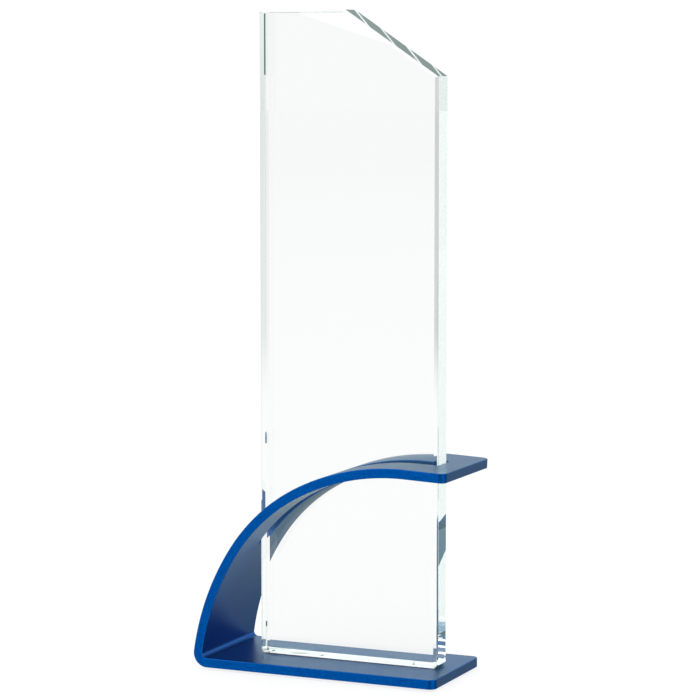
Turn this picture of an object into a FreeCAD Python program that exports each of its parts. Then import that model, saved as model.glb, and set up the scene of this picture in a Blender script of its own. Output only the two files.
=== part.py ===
import FreeCAD, Part
import math
import os

# Column trophy: a clear glass column stands in a stand bent from one blue metal strip.
# X runs along the width, Y from the front to the back, Z up. Millimetres and degrees.
# The origin is the middle of the footprint, on the surface that the trophy stands on.

# Strip of the stand
plate_thickness = 4.0
strip_depth = 50.0
corner_radius = 3.0            # plan rounding of the strip's two free ends
edge_break = 0.3               # small round along every cut edge

# Course of the strip's outer skin, from the free end of the base round to the tongue's tip
base_run = 103.3
bend_radius, bend_sweep = 6.0, 98.4
flank_radius, flank_sweep = 110.0, 25.0
shoulder_radius, shoulder_sweep = 81.0, 30.0
crown_radius, crown_sweep = 97.0, 29.1
tongue_run = 17.5

# Glass column
glass_width = 80.0
glass_thickness = 12.0
glass_height = 270.0
arris = 1.0                    # leg of the 45 degree bevel along every edge of both faces
safety_corner = 1.0            # cut on the square corners of the outline
slant_width = 41.0             # slanted cut at the top right: its run along X
slant_height = 27.0            # and its drop along Z
glass_setback = 7.2            # from the base's free end to the column's right side

# Slot through the strip for the column
slot_side_gap = 0.5
slot_end_gap = 0.7
slot_corner_radius = 0.9

# Clear film that holds the column on the base
film_thickness = 0.2
film_width = 70.0
film_depth = 7.0

# Feet under the base
pad_thickness = 1.0
pad_radius = 4.0
pad_edge_distance = 9.5        # pad centre from the base's front, back and free end
pad_bend_distance = 8.0        # pad centre from the end of the bend

CUT_MARGIN = 6.0               # how far a cutting solid stands past the metal
Y_AXIS = FreeCAD.Vector(0, 1, 0)


def heading_vector(heading):
    """Unit vector in the XZ plane that points along a heading."""
    angle = math.radians(heading)
    return FreeCAD.Vector(math.cos(angle), 0, math.sin(angle))


def inward_vector(heading):
    """Unit vector from the outer skin towards the inner skin."""
    return heading_vector(heading - 90)


class StripCourse:
    """Walks along the outer skin, turning clockwise, and collects the edges of both skins."""

    def __init__(self, start):
        self.point = start
        self.heading = 180.0
        self.outer = []
        self.inner = []
        self.centres = []

    def straight(self, length):
        across = inward_vector(self.heading) * plate_thickness
        end = self.point + heading_vector(self.heading) * length
        self.outer.append(Part.LineSegment(self.point, end).toShape())
        self.inner.append(Part.LineSegment(self.point + across, end + across).toShape())
        self.point = end

    def curve(self, radius, sweep):
        centre = self.point + inward_vector(self.heading) * radius
        self.outer.append(self.arc_edge(centre, radius, sweep))
        self.inner.append(self.arc_edge(centre, radius - plate_thickness, sweep))
        self.heading -= sweep
        self.point = centre - inward_vector(self.heading) * radius
        self.centres.append(centre)

    def arc_edge(self, centre, radius, sweep):
        stations = (self.heading, self.heading - sweep / 2, self.heading - sweep)
        points = [centre - inward_vector(station) * radius for station in stations]
        return Part.Arc(*points).toShape()

    def face(self):
        first = Part.LineSegment(self.outer[0].Vertexes[0].Point, self.inner[0].Vertexes[0].Point)
        last = Part.LineSegment(self.outer[-1].Vertexes[-1].Point, self.inner[-1].Vertexes[-1].Point)
        edges = self.outer + self.inner + [first.toShape(), last.toShape()]
        return Part.Face(Part.Wire(Part.__sortEdges__(edges)))


def strip_course(base_end_x):
    """The whole course: base, tight bend, flank, shoulder, crown and tongue."""
    course = StripCourse(FreeCAD.Vector(base_end_x, 0, pad_thickness))
    course.straight(base_run)
    course.curve(bend_radius, bend_sweep)
    course.curve(flank_radius, flank_sweep)
    course.curve(shoulder_radius, shoulder_sweep)
    course.curve(crown_radius, crown_sweep)
    course.straight(tongue_run)
    return course


def free_end_x():
    """X of the base's free end that centres the strip's length on the origin."""
    trial = strip_course(0.0).face().BoundBox
    return -(trial.XMin + trial.XMax) / 2


base_end_x = free_end_x()
base_top_z = pad_thickness + plate_thickness
glass_right_x = base_end_x - glass_setback
glass_left_x = glass_right_x - glass_width
glass_bottom_z = base_top_z + film_thickness
glass_top_z = glass_bottom_z + glass_height


def extruded(points, thickness):
    """Prism of an XZ outline, centred on Y = 0."""
    shift = FreeCAD.Vector(0, -thickness / 2, 0)
    wire = Part.makePolygon([FreeCAD.Vector(x, 0, z) + shift for x, z in points + points[:1]])
    return Part.Face(wire).extrude(Y_AXIS * thickness)


def is_sharp(shape, edge):
    """True where the two faces beside an edge meet at an angle."""
    faces = shape.ancestorsOfType(edge, Part.Face)
    middle = edge.valueAt((edge.FirstParameter + edge.LastParameter) / 2)
    normals = [face.normalAt(*face.Surface.parameter(middle)) for face in faces]
    return len(normals) == 2 and normals[0].getAngle(normals[1]) > math.radians(10)


def upright_ends(shape):
    """Edges across the plate's thickness at the corners of the two free ends."""
    wanted = []
    for edge in shape.Edges:
        box = edge.BoundBox
        across = abs(edge.Length - plate_thickness) < 0.01 and box.YLength < 0.01
        if across and box.XMin > base_end_x - 1:
            wanted.append(edge)
    return wanted


def slot_cutter(course):
    """Prism through the arch, with end walls square to the plate, as cut before bending."""
    shoulder_centre = course.centres[2]
    reach = shoulder_centre.x - (glass_left_x - slot_end_gap)
    low_heading = math.degrees(math.asin(reach / (shoulder_radius - plate_thickness)))
    low_across = inward_vector(low_heading)
    low = shoulder_centre - low_across * (shoulder_radius - plate_thickness)
    low_inside = low + low_across * CUT_MARGIN
    low_outside = low - low_across * (plate_thickness + CUT_MARGIN)

    tip_across = inward_vector(course.heading)
    back_along = (course.point.x - glass_right_x - slot_end_gap) / math.cos(math.radians(course.heading))
    high = course.point - heading_vector(course.heading) * back_along + tip_across * plate_thickness
    high_inside = high + tip_across * CUT_MARGIN
    high_outside = high - tip_across * (plate_thickness + CUT_MARGIN)

    corners = [low_inside, low_outside, high_outside, high_inside]
    outline = [(corner.x, corner.z) for corner in corners]
    outline.insert(2, (low_outside.x, high_outside.z))
    prism = extruded(outline, glass_thickness + 2 * slot_side_gap)
    ends = [edge for edge in prism.Edges if joins(edge, low_inside, low_outside)]
    ends += [edge for edge in prism.Edges if joins(edge, high_inside, high_outside)]
    return prism.makeFillet(slot_corner_radius, ends)


def joins(edge, first, second):
    """True where an edge runs between two points as seen along Y."""
    ends = [FreeCAD.Vector(vertex.X, 0, vertex.Z) for vertex in edge.Vertexes]
    forward = ends[0].isEqual(first, 0.001) and ends[1].isEqual(second, 0.001)
    backward = ends[0].isEqual(second, 0.001) and ends[1].isEqual(first, 0.001)
    return forward or backward


def make_stand():
    """One bent strip: flat base, tight bend, arch with the slot, and tongue."""
    course = strip_course(base_end_x)
    strip = course.face().extrude(Y_AXIS * strip_depth)
    strip.translate(FreeCAD.Vector(0, -strip_depth / 2, 0))
    strip = strip.makeFillet(corner_radius, upright_ends(strip))
    strip = strip.cut(slot_cutter(course))
    edges = [edge for edge in strip.Edges if is_sharp(strip, edge)]
    return strip.makeFillet(edge_break, edges)


def make_glass_column():
    """Polished slab with a slanted top right corner and an arris round both faces."""
    left, right, low, high = glass_left_x, glass_right_x, glass_bottom_z, glass_top_z
    outline = [
        (left + safety_corner, low),
        (right - safety_corner, low),
        (right, low + safety_corner),
        (right, high - slant_height),
        (right - slant_width, high),
        (left + safety_corner, high),
        (left, high - safety_corner),
        (left, low + safety_corner),
    ]
    slab = extruded(outline, glass_thickness)
    rims = [edge for edge in slab.Edges if edge.BoundBox.YLength < 0.01]
    return slab.makeChamfer(arris, rims)


def make_bond_film():
    """Clear film between the column's foot and the base."""
    middle_x = (glass_left_x + glass_right_x) / 2
    corner = FreeCAD.Vector(middle_x - film_width / 2, -film_depth / 2, base_top_z)
    film = Part.makeBox(film_width, film_depth, film_thickness, corner)
    uprights = [edge for edge in film.Edges if edge.BoundBox.ZLength > film_thickness / 2]
    return film.makeFillet(corner_radius, uprights)


def make_foot_pads():
    """Four self-adhesive pads under the corners of the base."""
    pad_xs = {
        "left": base_end_x - base_run + pad_bend_distance,
        "right": base_end_x - pad_edge_distance,
    }
    pad_ys = {
        "front": -strip_depth / 2 + pad_edge_distance,
        "back": strip_depth / 2 - pad_edge_distance,
    }
    pads = {}
    for row, y in pad_ys.items():
        for side, x in pad_xs.items():
            foot = FreeCAD.Vector(x, y, 0)
            pads["foot_pad_" + row + "_" + side] = Part.makeCylinder(pad_radius, pad_thickness, foot)
    return pads


nodes = {
    "stand": make_stand(),
    "glass_column": make_glass_column(),
    "bond_film": make_bond_film(),
}
nodes.update(make_foot_pads())

os.makedirs("parts", exist_ok=True)
for name, shape in nodes.items():
    shape.exportStep("parts/" + name + ".step")
    box = shape.BoundBox
    corners = [round(value, 2) for value in (box.XMin, box.YMin, box.ZMin, box.XMax, box.YMax, box.ZMax)]
    print(name, shape.isValid(), len(shape.Solids), round(shape.Volume, 1), corners)
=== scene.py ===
import math

import bmesh
import bpy
from mathutils import Matrix, Vector


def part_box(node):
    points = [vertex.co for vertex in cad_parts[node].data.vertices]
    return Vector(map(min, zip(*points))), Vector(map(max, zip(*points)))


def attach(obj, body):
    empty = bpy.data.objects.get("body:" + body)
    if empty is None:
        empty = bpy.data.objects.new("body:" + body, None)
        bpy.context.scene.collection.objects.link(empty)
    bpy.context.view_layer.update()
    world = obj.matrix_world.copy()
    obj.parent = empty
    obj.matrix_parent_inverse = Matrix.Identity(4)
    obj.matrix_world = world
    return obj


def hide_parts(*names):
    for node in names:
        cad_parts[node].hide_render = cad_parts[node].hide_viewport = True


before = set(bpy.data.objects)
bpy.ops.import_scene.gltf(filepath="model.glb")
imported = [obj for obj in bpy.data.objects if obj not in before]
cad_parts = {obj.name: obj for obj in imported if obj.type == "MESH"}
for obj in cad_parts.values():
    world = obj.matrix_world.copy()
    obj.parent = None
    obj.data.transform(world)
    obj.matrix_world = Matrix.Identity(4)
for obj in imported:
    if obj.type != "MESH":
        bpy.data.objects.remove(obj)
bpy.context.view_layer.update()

# ---------------------------------------------------------------- sizes, in metres and degrees
MM = 0.001
strip_low, strip_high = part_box("stand")
glass_low, glass_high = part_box("glass_column")
film_low, film_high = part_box("bond_film")

PLATE = 4.0 * MM
END_CORNER = 3.0 * MM          # plan rounding of the strip's free ends
EDGE_ROUND = 0.3 * MM          # small round along every cut edge
BASE_RUN = 103.3 * MM
BEND = (6.0 * MM, 98.4)        # radius of the outer skin and sweep, from the base upwards
FLANK = (110.0 * MM, 25.0)
SHOULDER = (81.0 * MM, 30.0)
CROWN = (97.0 * MM, 29.1)
TONGUE_RUN = 17.499 * MM       # a micrometre short, so that the tip stays inside the CAD box
SLOT_SIDE_GAP = 0.5 * MM
SLOT_END_GAP = 0.7 * MM
SLOT_CORNER = 0.9 * MM

ARRIS = 1.0 * MM
SAFETY_CORNER = 1.0 * MM
SLANT_WIDTH = 41.0 * MM
SLANT_HEIGHT = 27.0 * MM

ROUND_STEPS = 4                # faces across each small round
FINE_STEP = 0.8 * MM           # largest grid step where the strip is curved
FINE_TURN = 3.0                # largest turn of the strip in one grid step
COARSE_STEP = 4.0 * MM         # largest grid step on its flats
CORNER_TURN = 10               # turn of a round plan corner between two stations
CORNER_CLEARANCE = FINE_STEP / 4  # no other station is this near to a round plan corner
RAIL_CELLS = 6                 # cells across each rail beside the slot
MIDDLE_CELLS = 6               # cells across the band between the rails
HALVINGS = 50                  # steps of the search for a station
KEY_DIGITS = 8                 # corners that agree to ten nanometres are one vertex
SPAN_TOLERANCE = 1e-12
SLOT_TOLERANCE = 1e-9

half_depth = (strip_high.y - strip_low.y) / 2
free_end_x = strip_low.x + BEND[0] + BASE_RUN
slot_half = (glass_high.y - glass_low.y) / 2 + SLOT_SIDE_GAP


def along(heading):
    """Unit vector in the XZ plane along a heading."""
    return Vector((math.cos(math.radians(heading)), 0, math.sin(math.radians(heading))))


def inward(heading):
    """Unit vector from the outer skin towards the inner skin."""
    return along(heading - 90)


# ---------------------------------------------------------------- the strip's course
class Course:
    """The strip's outer skin in the XZ plane, walked clockwise from the base's free end."""

    def __init__(self):
        self.spans = []
        self.length = 0.0
        self.point = Vector((free_end_x, 0, strip_low.z))
        self.heading = 180.0
        self.straight(BASE_RUN)
        for radius, sweep in (BEND, FLANK, SHOULDER, CROWN):
            self.curve(radius, sweep)
        self.straight(TONGUE_RUN)

    def straight(self, length):
        self.spans.append((self.length, length, self.point.copy(), self.heading, 0.0, 0.0))
        self.point += along(self.heading) * length
        self.length += length

    def curve(self, radius, sweep):
        centre = self.point + inward(self.heading) * radius
        length = radius * math.radians(sweep)
        self.spans.append((self.length, length, centre, self.heading, radius, sweep))
        self.heading -= sweep
        self.point = centre - inward(self.heading) * radius
        self.length += length

    def heading_at(self, station):
        start, length, _, heading, _, sweep = self.span_at(station)
        return heading - sweep * (station - start) / length

    def span_at(self, station):
        return [span for span in self.spans if span[0] <= station + SPAN_TOLERANCE][-1]

    def place(self, station, across, depth):
        """The point at a station along the strip, across it, and into its thickness."""
        start, _, origin, heading, radius, sweep = self.span_at(station)
        normal = inward(self.heading_at(station))
        if sweep:
            point = origin - normal * (radius - depth)
        else:
            point = origin + along(heading) * (station - start) + normal * depth
        return point + Vector((0, across, 0))

    def station_where(self, x, depth, low, high):
        """The station between low and high whose point at that depth has this X."""
        for _ in range(HALVINGS):
            middle = (low + high) / 2
            if self.place(middle, 0, depth).x < x:
                low = middle
            else:
                high = middle
        return (low + high) / 2


course = Course()
flank_start = course.spans[2][0]
crown_start = course.spans[4][0]
slot_start = course.station_where(glass_low.x - SLOT_END_GAP, PLATE, flank_start, course.length)
slot_end = course.station_where(glass_high.x + SLOT_END_GAP, PLATE, crown_start, course.length)


# ---------------------------------------------------------------- the stand's mesh
def stations():
    """Stations of the grid: fine on curves and round corners, coarse on the flats."""
    found = {EDGE_ROUND, course.length - EDGE_ROUND}
    for start, length, _, _, radius, _ in course.spans:
        step = min(FINE_STEP, radius * math.radians(FINE_TURN)) if radius else COARSE_STEP
        count = max(1, math.ceil(length / step))
        found.update(start + length * i / count for i in range(count + 1))
    outer_corner = END_CORNER - EDGE_ROUND
    slot_corner = SLOT_CORNER + EDGE_ROUND
    corners = [
        (EDGE_ROUND, 1, outer_corner),
        (course.length - EDGE_ROUND, -1, outer_corner),
        (slot_start - EDGE_ROUND, 1, slot_corner),
        (slot_end + EDGE_ROUND, -1, slot_corner),
    ]
    kept = []
    turns = [math.radians(angle) for angle in range(0, 91, CORNER_TURN)]
    for edge, way, radius in corners:
        low, high = sorted((edge, edge + way * radius))
        found = {s for s in found if not low - CORNER_CLEARANCE < s < high + CORNER_CLEARANCE}
        kept += [edge + way * radius * (1 - math.cos(turn)) for turn in turns]
    inside = {s for s in found if EDGE_ROUND < s < course.length - EDGE_ROUND}
    return sorted(inside | set(kept))


def rounded_half(station, edge, way, half, radius):
    """Half width of a rounded rectangle at a station near its end."""
    reach = (station - edge) * way
    if reach >= radius:
        return half
    return half - radius + math.sqrt(max(0.0, radius ** 2 - (radius - reach) ** 2))


def outer_half(station):
    """Half width of the strip without its edge round."""
    half = half_depth - EDGE_ROUND
    radius = END_CORNER - EDGE_ROUND
    near = rounded_half(station, EDGE_ROUND, 1, half, radius)
    far = rounded_half(station, course.length - EDGE_ROUND, -1, half, radius)
    return min(near, far)


def inner_half(station):
    """Half width of the slot with its edge round, or of the middle band where there is no slot."""
    half = slot_half + EDGE_ROUND
    radius = SLOT_CORNER + EDGE_ROUND
    if not in_slot(station):
        return half - radius
    near = rounded_half(station, slot_start - EDGE_ROUND, 1, half, radius)
    far = rounded_half(station, slot_end + EDGE_ROUND, -1, half, radius)
    return min(near, far)


def in_slot(station):
    reach = EDGE_ROUND + SLOT_TOLERANCE
    return slot_start - reach <= station <= slot_end + reach


class SheetBuilder:
    """Builds the bent strip as one closed mesh, with exact normals and flat-pattern coordinates."""

    def __init__(self):
        self.mesh = bmesh.new()
        self.flat = self.mesh.loops.layers.uv.new("flat")
        self.points = {}
        self.normals = {}

    def vertex(self, station, across, depth, tilt):
        """tilt is the outward normal as (along, across, depth) in the strip's own frame."""
        key = tuple(round(value, KEY_DIGITS) for value in (station, across, depth))
        if key not in self.points:
            made = self.mesh.verts.new(course.place(*key))
            heading = course.heading_at(station)
            normal = along(heading) * tilt[0] + Vector((0, tilt[1], 0)) + inward(heading) * tilt[2]
            self.points[key] = made
            self.normals[made] = normal.normalized()
        return self.points[key]

    def face(self, corners, coordinates, slot):
        """A face wound so that it looks the way its corners' normals point."""
        first, second, third = corners[:3]
        winding = (second.co - first.co).cross(third.co - second.co)
        if winding.dot(self.normals[first] + self.normals[third]) < 0:
            corners, coordinates = corners[::-1], coordinates[::-1]
        face = self.mesh.faces.new(corners)
        face.smooth = True
        face.material_index = slot
        for loop, place in zip(face.loops, coordinates):
            loop[self.flat].uv = place


SKIN, CUT_EDGE, ROUND = 0, 1, 2  # the stand's material slots


def skin_rows():
    """Per station, the across positions of the front rail, the middle band and the back rail."""
    rows = []
    for station in stations():
        outer, inner = outer_half(station), inner_half(station)
        rail = [inner + (outer - inner) * i / RAIL_CELLS for i in range(RAIL_CELLS + 1)]
        middle = [inner * (2 * i / MIDDLE_CELLS - 1) for i in range(MIDDLE_CELLS + 1)]
        rows.append((station, [-a for a in reversed(rail)], middle, rail))
    return rows


def add_skin(builder, rows, depth, facing):
    """One skin of the strip, open at the slot."""
    for (s0, *bands0), (s1, *bands1) in zip(rows, rows[1:]):
        open_here = in_slot(s0) and in_slot(s1)
        for index, (band0, band1) in enumerate(zip(bands0, bands1)):
            if index == 1 and open_here:
                continue
            for i in range(len(band0) - 1):
                flat = [(s0, band0[i]), (s0, band0[i + 1]), (s1, band1[i + 1]), (s1, band1[i])]
                corners = [builder.vertex(s, a, depth, (0, 0, facing)) for s, a in flat]
                builder.face(corners, flat, SKIN)


def outer_loop(rows):
    """The strip's rim in flat coordinates with its outward normals, one way round."""
    radius = END_CORNER - EDGE_ROUND
    front = [(row[0], row[1][0]) for row in rows]
    back = [(row[0], row[3][-1]) for row in rows]
    first = [(rows[0][0], a) for a in across_line(rows[0])]
    last = [(rows[-1][0], a) for a in across_line(rows[-1])]
    loop = front + last[1:-1] + back[::-1] + first[1:-1][::-1]
    centre_half = half_depth - EDGE_ROUND - radius
    low, high = EDGE_ROUND + radius, course.length - EDGE_ROUND - radius
    return [(s, a, rim_normal(s, a, low, high, centre_half)) for s, a in loop]


def across_line(row):
    return row[1] + row[2][1:-1] + row[3]


def rim_normal(station, across, low, high, centre_half):
    """Outward direction from a rounded rectangle's core to a point on its rim."""
    core = (min(max(station, low), high), min(max(across, -centre_half), centre_half))
    away = Vector((station - core[0], across - core[1]))
    return away.normalized()


def slot_loop(rows):
    """The slot's rim in flat coordinates with normals that point into the slot."""
    radius = SLOT_CORNER + EDGE_ROUND
    inside = [row for row in rows if in_slot(row[0])]
    front = [(row[0], row[1][-1]) for row in inside]
    back = [(row[0], row[3][0]) for row in inside]
    first = [(inside[0][0], a) for a in inside[0][2]]
    last = [(inside[-1][0], a) for a in inside[-1][2]]
    loop = front + last[1:-1] + back[::-1] + first[1:-1][::-1]
    centre_half = slot_half + EDGE_ROUND - radius
    low, high = slot_start - EDGE_ROUND + radius, slot_end + EDGE_ROUND - radius
    return [(s, a, -rim_normal(s, a, low, high, centre_half)) for s, a in loop]


def rim_profile():
    """(outward shift, depth, outward share of the normal, depth share) from skin to skin."""
    rings = []
    for i in range(ROUND_STEPS + 1):
        angle = math.radians(90 * i / ROUND_STEPS)
        shift, depth = EDGE_ROUND * math.sin(angle), EDGE_ROUND * (1 - math.cos(angle))
        rings.append((shift, depth, math.sin(angle), -math.cos(angle)))
    mirrored = [(shift, PLATE - depth, out, -down) for shift, depth, out, down in reversed(rings)]
    return rings + mirrored


def add_rim(builder, loop):
    """Edge round, cut edge and edge round along a rim."""
    rings = rim_profile()
    travelled = [0.0]
    for (s0, a0, _), (s1, a1, _) in zip(loop, loop[1:] + loop[:1]):
        travelled.append(travelled[-1] + math.hypot(s1 - s0, a1 - a0))
    for ring, (low, high) in enumerate(zip(rings, rings[1:])):
        slot = CUT_EDGE if ring == ROUND_STEPS else ROUND
        for i in range(len(loop)):
            ends = (loop[i], loop[(i + 1) % len(loop)])
            corners = [rim_vertex(builder, end, side) for end, side in
                       ((ends[0], low), (ends[1], low), (ends[1], high), (ends[0], high))]
            flat = [(travelled[i], low[1]), (travelled[i + 1], low[1]),
                    (travelled[i + 1], high[1]), (travelled[i], high[1])]
            builder.face(corners, flat, slot)


def rim_vertex(builder, end, ring):
    station, across, outward = end
    shift, depth, out, down = ring
    place = (station + outward.x * shift, across + outward.y * shift, depth)
    return builder.vertex(*place, (outward.x * out, outward.y * out, down))


def build_stand():
    """The bent strip with its slot. Normals are stored, so the small rounds shade smoothly."""
    builder = SheetBuilder()
    rows = skin_rows()
    add_skin(builder, rows, 0.0, -1)
    add_skin(builder, rows, PLATE, 1)
    add_rim(builder, outer_loop(rows))
    add_rim(builder, slot_loop(rows))
    mesh = bpy.data.meshes.new("stand_strip")
    order = list(builder.mesh.verts)
    builder.mesh.to_mesh(mesh)
    mesh.normals_split_custom_set_from_vertices([builder.normals[v] for v in order])
    builder.mesh.free()
    piece = bpy.data.objects.new("stand_strip", mesh)
    bpy.context.scene.collection.objects.link(piece)
    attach(piece, "root")
    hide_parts("stand")
    return piece


# ---------------------------------------------------------------- the glass column's mesh
def glass_outline():
    """Corners of the slab seen from the front, anticlockwise, with the square corners cut off."""
    left, right, low, high = glass_low.x, glass_high.x, glass_low.z, glass_high.z
    return [
        Vector((left + SAFETY_CORNER, low)),
        Vector((right - SAFETY_CORNER, low)),
        Vector((right, low + SAFETY_CORNER)),
        Vector((right, high - SLANT_HEIGHT)),
        Vector((right - SLANT_WIDTH, high)),
        Vector((left + SAFETY_CORNER, high)),
        Vector((left, high - SAFETY_CORNER)),
        Vector((left, low + SAFETY_CORNER)),
    ]


def shrunk(outline, distance):
    """The same outline with every side moved inwards."""
    found = []
    for before, here, after in zip(outline[-1:] + outline[:-1], outline, outline[1:] + outline[:1]):
        first, second = (here - before).normalized(), (after - here).normalized()
        inner_first, inner_second = first.orthogonal(), second.orthogonal()
        bisector = (inner_first + inner_second).normalized()
        found.append(here + bisector * (distance / bisector.dot(inner_first)))
    return found


def build_glass():
    """Slab with a 45 degree arris round both faces and sharp polished edges."""
    outline = glass_outline()
    inset = shrunk(outline, ARRIS)
    front, back = glass_low.y, glass_high.y
    rings = [(inset, front), (outline, front + ARRIS), (outline, back - ARRIS), (inset, back)]
    mesh = bmesh.new()
    rows = [[mesh.verts.new((p.x, y, p.y)) for p in ring] for ring, y in rings]
    mesh.faces.new(rows[0])
    mesh.faces.new(rows[-1][::-1])
    count = len(outline)
    for low, high in zip(rows, rows[1:]):
        for i in range(count):
            j = (i + 1) % count
            mesh.faces.new((low[j], low[i], high[i], high[j]))
    bmesh.ops.recalc_face_normals(mesh, faces=mesh.faces)
    return new_piece("glass_slab", mesh, ["glass_column"])


def new_piece(name, mesh, nodes):
    """Turns a bmesh into a piece that stands for CAD nodes."""
    data = bpy.data.meshes.new(name)
    mesh.to_mesh(data)
    mesh.free()
    piece = bpy.data.objects.new(name, data)
    bpy.context.scene.collection.objects.link(piece)
    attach(piece, "root")
    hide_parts(*nodes)
    return piece


# ---------------------------------------------------------------- film and feet
FILM_CLEARANCE = 0.01 * MM     # air above and under the film
FILM_CORNER = 3.0 * MM
FILM_CORNER_STEPS = 8


def build_film():
    """Thin rounded patch between the column's foot and the base."""
    mesh = bmesh.new()
    middle_x = (film_low.x + film_high.x) / 2
    reach_x = (film_high.x - film_low.x) / 2 - FILM_CORNER
    reach_y = (film_high.y - film_low.y) / 2 - FILM_CORNER
    ring = []
    for side_x, side_y, turn in ((1, 1, 0), (-1, 1, 90), (-1, -1, 180), (1, -1, 270)):
        centre_x, centre_y = middle_x + side_x * reach_x, side_y * reach_y
        for i in range(FILM_CORNER_STEPS + 1):
            angle = math.radians(turn + 90 * i / FILM_CORNER_STEPS)
            ring.append((centre_x + FILM_CORNER * math.cos(angle),
                         centre_y + FILM_CORNER * math.sin(angle)))
    low, high = film_low.z + FILM_CLEARANCE, film_high.z - FILM_CLEARANCE
    bottom = [mesh.verts.new((x, y, low)) for x, y in ring]
    top = [mesh.verts.new((x, y, high)) for x, y in ring]
    mesh.faces.new(top)
    mesh.faces.new(bottom[::-1])
    for i in range(len(ring)):
        j = (i + 1) % len(ring)
        mesh.faces.new((bottom[i], bottom[j], top[j], top[i]))
    return new_piece("film_patch", mesh, ["bond_film"])


# Shares of the pad's radius and height, from the middle of the underside to the top rim.
PAD_PROFILE = (
    (0.0, 0.06), (0.5, 0.03), (0.82, 0.0), (0.93, 0.03), (0.985, 0.18), (1.0, 0.45), (1.0, 1.0),
)
PAD_SIDES = 48


def build_pad(node):
    """Bumper pad turned from its profile: slightly dished underneath, with a rounded rim."""
    low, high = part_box(node)
    centre, radius, height = (low + high) / 2, (high.x - low.x) / 2, high.z - low.z
    mesh = bmesh.new()
    rings = []
    for share, rise in PAD_PROFILE[1:]:
        ring = []
        for i in range(PAD_SIDES):
            angle = 2 * math.pi * i / PAD_SIDES
            ring.append(mesh.verts.new((centre.x + radius * share * math.cos(angle),
                                        centre.y + radius * share * math.sin(angle),
                                        low.z + height * rise)))
        rings.append(ring)
    hub = mesh.verts.new((centre.x, centre.y, low.z + height * PAD_PROFILE[0][1]))
    for i in range(PAD_SIDES):
        mesh.faces.new((hub, rings[0][(i + 1) % PAD_SIDES], rings[0][i]))
    for inner, outer in zip(rings, rings[1:]):
        for i in range(PAD_SIDES):
            j = (i + 1) % PAD_SIDES
            mesh.faces.new((inner[i], inner[j], outer[j], outer[i]))
    mesh.faces.new(rings[-1])
    bmesh.ops.recalc_face_normals(mesh, faces=mesh.faces)
    for face in mesh.faces:
        face.smooth = len(face.verts) <= 4
    return new_piece(node + "_bumper", mesh, [node])


# ---------------------------------------------------------------- materials
SKIN_BLUE = (0.0, 0.082, 0.38)
CUT_EDGE_BLUE = (0.0, 0.081, 0.355)
# Lighter blue for the small edge rounds: a painted highlight along the stand's edges, on top of the
# light that the rounds catch.
ROUND_HIGHLIGHT_BLUE = (0.01, 0.11, 0.42)
GRAZING = (0.85, 0.92, 0.68, 1.0)  # tint of the metal at grazing angles
CLOUD_SCALE = 60.0
GRAIN_SCALE = 1500.0
RUBBER_SCALE = 2600.0
STREAK_STRETCH = (90.0, 7000.0, 1.0)  # noise scale along the cut edge and across it
CELL_STRETCH = (700.0, 900.0, 1.0)
METAL_BUMP = 0.00002           # metres
RUBBER_BUMP = 0.00005          # metres


class Nodes:
    """Short way to add and link shader nodes. Inputs go by a socket's name or index."""

    def __init__(self, name):
        self.material = bpy.data.materials.new(name)
        self.material.use_nodes = True
        self.tree = self.material.node_tree
        self.tree.nodes.clear()
        self.output = self.tree.nodes.new("ShaderNodeOutputMaterial")

    def add(self, kind, inputs=None, **settings):
        node = self.tree.nodes.new("ShaderNode" + kind)
        for name, value in settings.items():
            setattr(node, name, value)
        for name, value in (inputs or {}).items():
            if isinstance(value, bpy.types.NodeSocket):
                self.tree.links.new(value, node.inputs[name])
            else:
                node.inputs[name].default_value = value
        return node

    def finish(self, surface, volume=None):
        self.tree.links.new(surface, self.output.inputs["Surface"])
        if volume is not None:
            self.tree.links.new(volume, self.output.inputs["Volume"])
        return self.material


def noise(nodes, place, scale, detail):
    return nodes.add("TexNoise", {"Vector": place, "Scale": scale, "Detail": detail}).outputs["Fac"]


def bumped(nodes, height, strength, distance):
    settings = {"Height": height, "Strength": strength, "Distance": distance}
    return nodes.add("Bump", settings).outputs[0]


def mixed_colour(nodes, tone, dark, light):
    """Colour between two others. In a Mix node 6 and 7 are the colour sockets A and B."""
    return nodes.add("Mix", {0: tone, 6: dark, 7: light}, data_type="RGBA").outputs[2]


def maths(tree, operation, first, second):
    """Result of a Math node on two sockets or numbers."""
    node = tree.nodes.new("ShaderNodeMath")
    node.operation = operation
    for socket, value in zip(node.inputs, (first, second)):
        if isinstance(value, bpy.types.NodeSocket):
            tree.links.new(value, socket)
        else:
            socket.default_value = value
    return node.outputs[0]


def shade(colour, factor):
    """A colour made darker or lighter, with full alpha."""
    return tuple(min(1.0, c * factor) for c in colour) + (1.0,)


def anodised(name, colour, roughness, spread):
    """Blue anodised aluminium. spread is how far the colour wanders to either side."""
    nodes = Nodes(name)
    place = nodes.add("TexCoord").outputs["Object"]
    cloud = noise(nodes, place, CLOUD_SCALE, 3.0)
    grain = noise(nodes, place, GRAIN_SCALE, 2.0)
    both = nodes.add("Mix", {0: 0.6, 2: cloud, 3: grain}).outputs[0]
    tone = nodes.add("MapRange", {"Value": both, "From Min": 0.3, "From Max": 0.7}).outputs[0]
    mixed = mixed_colour(nodes, tone, shade(colour, 1 - spread), shade(colour, 1 + spread))
    limits = {"Value": tone, "To Min": roughness * 0.88, "To Max": roughness * 1.12}
    rough = nodes.add("MapRange", limits).outputs[0]
    bump = bumped(nodes, grain, 0.5, METAL_BUMP)
    shader = nodes.add("BsdfPrincipled", {
        "Base Color": mixed, "Metallic": 1.0, "Roughness": rough,
        "Specular Tint": GRAZING, "Normal": bump})
    return nodes.finish(shader.outputs[0])


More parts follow.
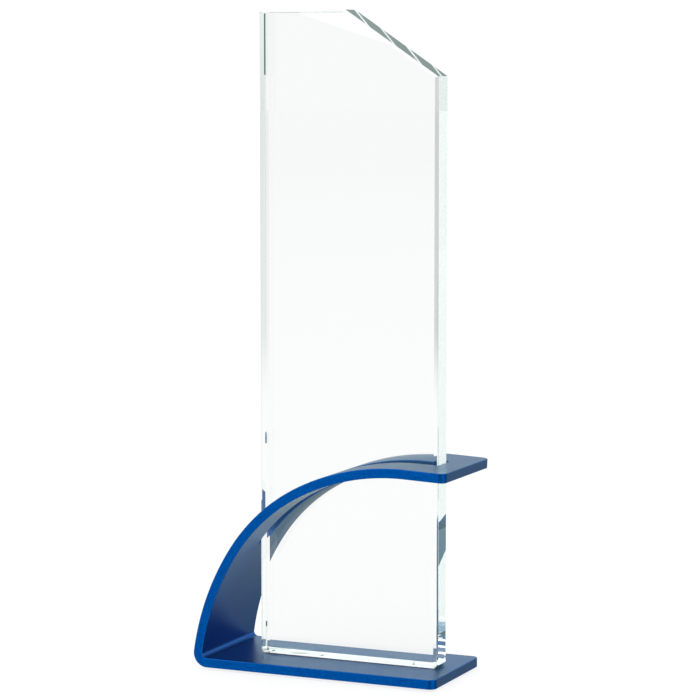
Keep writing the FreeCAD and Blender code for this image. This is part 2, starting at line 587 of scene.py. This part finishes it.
def brushed(name, colour, roughness, spread):
    """Cut edge of the same metal, with fine streaks along the strip."""
    nodes = Nodes(name)
    flat = nodes.add("UVMap", uv_map="flat").outputs[0]
    stretch = nodes.add("Mapping", {"Vector": flat, "Scale": STREAK_STRETCH}).outputs[0]
    streaks = noise(nodes, stretch, 1.0, 4.0)
    cells = nodes.add("Mapping", {"Vector": flat, "Scale": CELL_STRETCH}).outputs[0]
    cloud = noise(nodes, cells, 1.0, 3.0)
    both = maths(nodes.tree, "MULTIPLY", streaks, cloud)
    tone = nodes.add("MapRange", {"Value": both, "From Min": 0.16, "From Max": 0.34}).outputs[0]
    mixed = mixed_colour(nodes, tone, shade(colour, 1 - spread), shade(colour, 1 + spread))
    bump = bumped(nodes, streaks, 0.15, METAL_BUMP)
    shader = nodes.add("BsdfPrincipled", {
        "Base Color": mixed, "Metallic": 1.0, "Roughness": roughness,
        "Specular Tint": GRAZING, "Normal": bump})
    return nodes.finish(shader.outputs[0])


def glass_material():
    """Clear glass. The faint glow stands for light scattered inside it."""
    nodes = Nodes("clear_glass")
    shader = nodes.add("BsdfPrincipled", {
        "Base Color": (0.911, 0.902, 0.902, 1.0), "Roughness": 0.0, "IOR": 1.56,
        "Transmission Weight": 1.0,
        "Emission Color": (0.33, 0.94, 0.83, 1.0), "Emission Strength": 0.014})
    inside = nodes.add("VolumeAbsorption", {"Color": (0.5, 0.9, 0.75, 1.0), "Density": 1.0})
    return nodes.finish(shader.outputs[0], inside.outputs[0])


def film_material():
    """Nearly clear adhesive film."""
    nodes = Nodes("clear_film")
    shader = nodes.add("BsdfPrincipled", {
        "Base Color": (0.92, 0.95, 0.95, 1.0), "Roughness": 0.3, "IOR": 1.47, "Alpha": 0.1})
    return nodes.finish(shader.outputs[0])


def rubber_material():
    """Dark matt rubber of the feet."""
    nodes = Nodes("pad_rubber")
    place = nodes.add("TexCoord").outputs["Object"]
    grain = noise(nodes, place, RUBBER_SCALE, 3.0)
    tone = mixed_colour(nodes, grain, (0.012, 0.012, 0.013, 1), (0.03, 0.03, 0.032, 1))
    bump = bumped(nodes, grain, 0.4, RUBBER_BUMP)
    shader = nodes.add("BsdfPrincipled", {"Base Color": tone, "Roughness": 0.75, "Normal": bump})
    return nodes.finish(shader.outputs[0])


# ---------------------------------------------------------------- studio
CAMERA_AZIMUTH = 24.155
CAMERA_PITCH = 6.057
CAMERA_DISTANCE = 1118.43 * MM
CAMERA_AIM = Vector((15.32 * MM, strip_low.y, 137.95 * MM))
SENSOR = 36.0                  # millimetres, as the lens
LENS = 142.07
CLIP = (0.01, 50.0)            # nearest and farthest distance that the camera sees


def compass(azimuth, elevation):
    """Unit vector towards an azimuth, 0 in front and 90 on the right, and an elevation."""
    turn, rise = math.radians(azimuth), math.radians(elevation)
    level = math.cos(rise)
    return Vector((math.sin(turn) * level, -math.cos(turn) * level, math.sin(rise)))


def add_camera():
    """Camera at the photo's viewing angle."""
    back = compass(CAMERA_AZIMUTH, CAMERA_PITCH)
    data = bpy.data.cameras.new("camera")
    data.sensor_width = SENSOR
    data.lens = LENS
    data.clip_start, data.clip_end = CLIP
    camera = bpy.data.objects.new("camera", data)
    camera.location = CAMERA_AIM + back * CAMERA_DISTANCE
    camera.rotation_euler = back.to_track_quat("Z", "Y").to_euler()
    bpy.context.scene.collection.objects.link(camera)
    bpy.context.scene.camera = camera


SURROUND = 0.82                # radiance of the surround, before anything is added to it
OVERHEAD = 0.38                # added towards the zenith
PLAIN_WHITE = 1.04             # the surround where it is looked at directly

# Soft cards in the surround and on the floor: azimuth as the camera's, elevation, half width,
# and what each adds in its middle.
CARDS = (
    ("backdrop", 202.0, 0.0, 62.0, 0.202),
    ("left shade", 247.0, 0.0, 33.0, -0.35),
    ("left window", 292.0, 0.0, 40.0, 0.25),
    ("front left", 330.0, 8.0, 28.0, 0.22),
    ("camera side", 18.0, 0.0, 32.0, -0.38),
    ("right window", 66.0, 0.0, 34.0, 0.3),
    ("strip glow", 152.0, 8.0, 14.0, 0.3),
    ("back right shade", 142.0, -28.0, 38.0, -0.75),
    ("back flag", 176.0, 28.0, 26.0, -0.55),
    ("back low glow", 160.0, -21.0, 16.0, 0.2),
    ("low flag", 212.0, -33.0, 31.0, -0.65),
)

FLOOR_RADIUS = 12.0
FLOOR_SIDES = 96
FLOOR_DROP = 0.05 * MM         # keeps the floor clear of the feet
FLOOR_TONE = 0.2               # share of the studio light that the floor returns
FLOOR_GLOW = 0.83              # light from the lit table under it
FLOOR_FAR_LOSS = 0.04          # what the glow loses far out
FAR_LOSS_REACH = (0.4, 5.0)    # distances from the middle between which that loss comes in
SHADES_REACH = (0.8, 1.5)      # distances between which the floor's shades come in
FLOOR_SHADES = (               # only well away from the object
    ("left falloff", 252.0, 0.0, 36.0, -0.5),
    ("right falloff", 135.0, 0.0, 60.0, -0.2),
)
FLOOR_WASH = (                 # up to the object
    ("front wash", 335.0, 0.0, 50.0, 0.18),
)


def add_floor():
    """Wide white lit table. Mirror-like surfaces see the studio's surround in its place."""
    mesh = bmesh.new()
    bmesh.ops.create_circle(mesh, cap_ends=True, segments=FLOOR_SIDES, radius=FLOOR_RADIUS)
    data = bpy.data.meshes.new("floor")
    mesh.to_mesh(data)
    mesh.free()
    floor = bpy.data.objects.new("floor", data)
    floor.location.z = -FLOOR_DROP
    floor.visible_glossy = False
    bpy.context.scene.collection.objects.link(floor)
    data.materials.append(floor_material())


def floor_material():
    """Even glow, plus the floor's cards and far loss wherever it isn't looked at directly."""
    nodes = Nodes("pale_floor")
    tree = nodes.tree
    place = nodes.add("TexCoord").outputs["Object"]
    towards = nodes.add("VectorMath", {0: place}, operation="NORMALIZE").outputs[0]
    far = nodes.add("VectorMath", {0: place}, operation="LENGTH").outputs["Value"]
    fade = nodes.add("MapRange", {
        "Value": far, "From Min": SHADES_REACH[0], "From Max": SHADES_REACH[1]},
        interpolation_type="SMOOTHSTEP").outputs[0]
    loss = nodes.add("MapRange", {
        "Value": far, "From Min": FAR_LOSS_REACH[0], "From Max": FAR_LOSS_REACH[1],
        "To Max": -FLOOR_FAR_LOSS}).outputs[0]
    shades = maths(tree, "MULTIPLY", cards_glow(tree, towards, FLOOR_SHADES), fade)
    wash = cards_glow(tree, towards, FLOOR_WASH)
    cards = maths(tree, "ADD", maths(tree, "ADD", shades, loss), wash)
    unseen = maths(tree, "SUBTRACT", 1.0, seen_directly(tree))
    glow = maths(tree, "ADD", maths(tree, "MULTIPLY", cards, unseen), FLOOR_GLOW)
    shader = nodes.add("BsdfPrincipled", {
        "Base Color": (FLOOR_TONE, FLOOR_TONE, FLOOR_TONE, 1), "Roughness": 0.9,
        "Specular IOR Level": 0.0,
        "Emission Color": (1, 1, 1, 1), "Emission Strength": glow})
    return nodes.finish(shader.outputs[0])


def add_world():
    """Surround with an overhead glow and soft bright and dark cards, plain where looked at."""
    world = bpy.data.worlds.new("studio")
    world.use_nodes = True
    bpy.context.scene.world = world
    tree = world.node_tree
    tree.nodes.clear()
    output = tree.nodes.new("ShaderNodeOutputWorld")
    light = tree.nodes.new("ShaderNodeBackground")
    light.inputs["Color"].default_value = (1, 1, 1, 1)
    place = tree.nodes.new("ShaderNodeTexCoord").outputs["Generated"]
    zenith = card_glow(tree, place, (0, 0, 1), 90.0, OVERHEAD)
    added = maths(tree, "ADD", zenith, cards_glow(tree, place, CARDS))
    total = maths(tree, "ADD", added, SURROUND)
    plain = tree.nodes.new("ShaderNodeMix")
    plain.inputs["B"].default_value = PLAIN_WHITE
    tree.links.new(seen_directly(tree), plain.inputs["Factor"])
    tree.links.new(total, plain.inputs["A"])
    tree.links.new(plain.outputs[0], light.inputs["Strength"])
    tree.links.new(light.outputs[0], output.inputs["Surface"])


def seen_directly(tree):
    """One where the studio itself is looked at, so that it stays plain white behind the object."""
    return tree.nodes.new("ShaderNodeLightPath").outputs["Is Camera Ray"]


def cards_glow(tree, place, cards):
    """What all the cards add in the direction of a place."""
    total = None
    for _, azimuth, elevation, half_width, change in cards:
        card = card_glow(tree, place, compass(azimuth, elevation), half_width, change)
        total = card if total is None else maths(tree, "ADD", total, card)
    return total


def card_glow(tree, place, towards, half_width, change):
    """Smooth bump of a given half width round one direction."""
    facing = tree.nodes.new("ShaderNodeVectorMath")
    facing.operation = "DOT_PRODUCT"
    facing.inputs[1].default_value = towards
    ramp = tree.nodes.new("ShaderNodeMapRange")
    ramp.interpolation_type = "SMOOTHSTEP"
    edge = math.cos(math.radians(half_width))
    for name, value in (("From Min", edge), ("From Max", 1.0), ("To Min", 0.0), ("To Max", change)):
        ramp.inputs[name].default_value = value
    tree.links.new(place, facing.inputs[0])
    tree.links.new(facing.outputs["Value"], ramp.inputs["Value"])
    return ramp.outputs[0]


SOFTBOX_AZIMUTH = 336.0
SOFTBOX_DISTANCE = 2.6
SOFTBOX_SIZE = (1.6, 0.8)
SOFTBOX_ROLL = -18.9
SOFTBOX_EDGE_HEIGHT = 0.291    # of the middle of its lower edge
SOFTBOX_POWER = 6.0


def add_softbox():
    """Rolled softbox at the front left: a little light on the stand, the side face and the foot."""
    outward = compass(SOFTBOX_AZIMUTH, 0)
    side, roll = Vector((-outward.y, outward.x, 0)), math.radians(SOFTBOX_ROLL)
    edge = side * math.cos(roll) + Vector((0, 0, math.sin(roll)))
    upward = outward.cross(edge)
    data = bpy.data.lights.new("softbox", "AREA")
    data.shape = "RECTANGLE"
    data.size, data.size_y = SOFTBOX_SIZE
    data.energy = SOFTBOX_POWER
    light = bpy.data.objects.new("softbox", data)
    middle = outward * SOFTBOX_DISTANCE + Vector((0, 0, SOFTBOX_EDGE_HEIGHT))
    light.location = middle + upward * (SOFTBOX_SIZE[1] / 2)
    light.rotation_euler = Matrix((edge, upward, outward)).transposed().to_euler()
    light.visible_camera = False
    bpy.context.scene.collection.objects.link(light)


# ---------------------------------------------------------------- the scene
MAX_BOUNCES = 128
TRANSMISSION_BOUNCES = 32
GLOSSY_BOUNCES = 9             # also sets how many streaks the glass's slanted edge shows

stand = build_stand()
for material in (anodised("anodised_skin", SKIN_BLUE, 0.34, 0.06),
                 brushed("anodised_cut_edge", CUT_EDGE_BLUE, 0.3, 0.2),
                 # The edge rounds get the lighter blue, a painted highlight along the edges.
                 anodised("anodised_edge_round_highlight", ROUND_HIGHLIGHT_BLUE, 0.28, 0.1)):
    stand.data.materials.append(material)
glass = build_glass()
glass.data.materials.append(glass_material())
film = build_film()
film.data.materials.append(film_material())
rubber = rubber_material()
for pad_node in sorted(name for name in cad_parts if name.startswith("foot_pad")):
    build_pad(pad_node).data.materials.append(rubber)

add_camera()
add_floor()
add_world()
add_softbox()

cycles = bpy.context.scene.cycles
cycles.max_bounces = MAX_BOUNCES
cycles.transmission_bounces = TRANSMISSION_BOUNCES
cycles.glossy_bounces = GLOSSY_BOUNCES
bpy.context.scene.view_settings.view_transform = "Standard"
